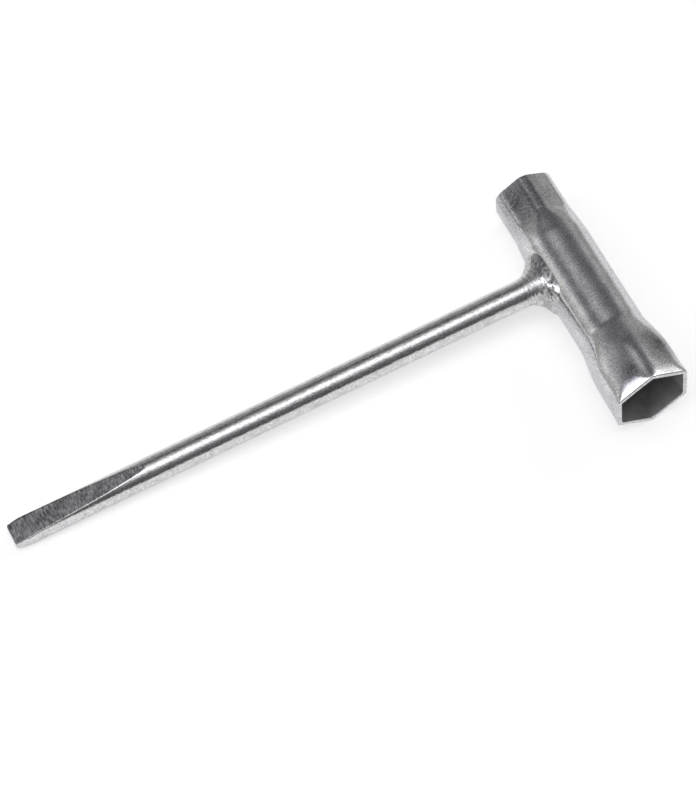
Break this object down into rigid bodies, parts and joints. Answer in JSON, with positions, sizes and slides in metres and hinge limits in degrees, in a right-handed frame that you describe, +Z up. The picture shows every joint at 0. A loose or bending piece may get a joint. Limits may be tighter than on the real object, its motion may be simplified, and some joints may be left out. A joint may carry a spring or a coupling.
{
  "type": "chainsaw combination wrench",
  "caption": "T-shaped combination wrench for chainsaws: a double-ended hexagon socket tube with a round bar welded to its side, the bar ending in a flat screwdriver blade.",
  "frame": {"origin": "middle of the bounding box in plan, on the surface the wrench lies on", "axes": "+X along the bar from the blade towards the socket tube, +Y along the socket tube towards the small socket, +Z up. The wrench lies at rest on its blade tip and one low corner of each socket, so the bar rises by about 3 degrees towards +X and the tube drops by about 2.5 degrees towards +Y."},
  "size_m": [0.1868, 0.0778, 0.0255],
  "materials": {
    "zinc_tube": "bright zinc plate over a drawn tube, slightly grainy",
    "zinc_bar": "bright zinc plate over a drawn bar, ground across at the blade",
    "zinc_weld": "bright zinc plate over uneven weld metal"
  },
  "bodies": {
    "root": {"socket_tube": "zinc_tube", "shank": "zinc_bar", "weld_bead": "zinc_weld"}
  },
  "joints": []
}
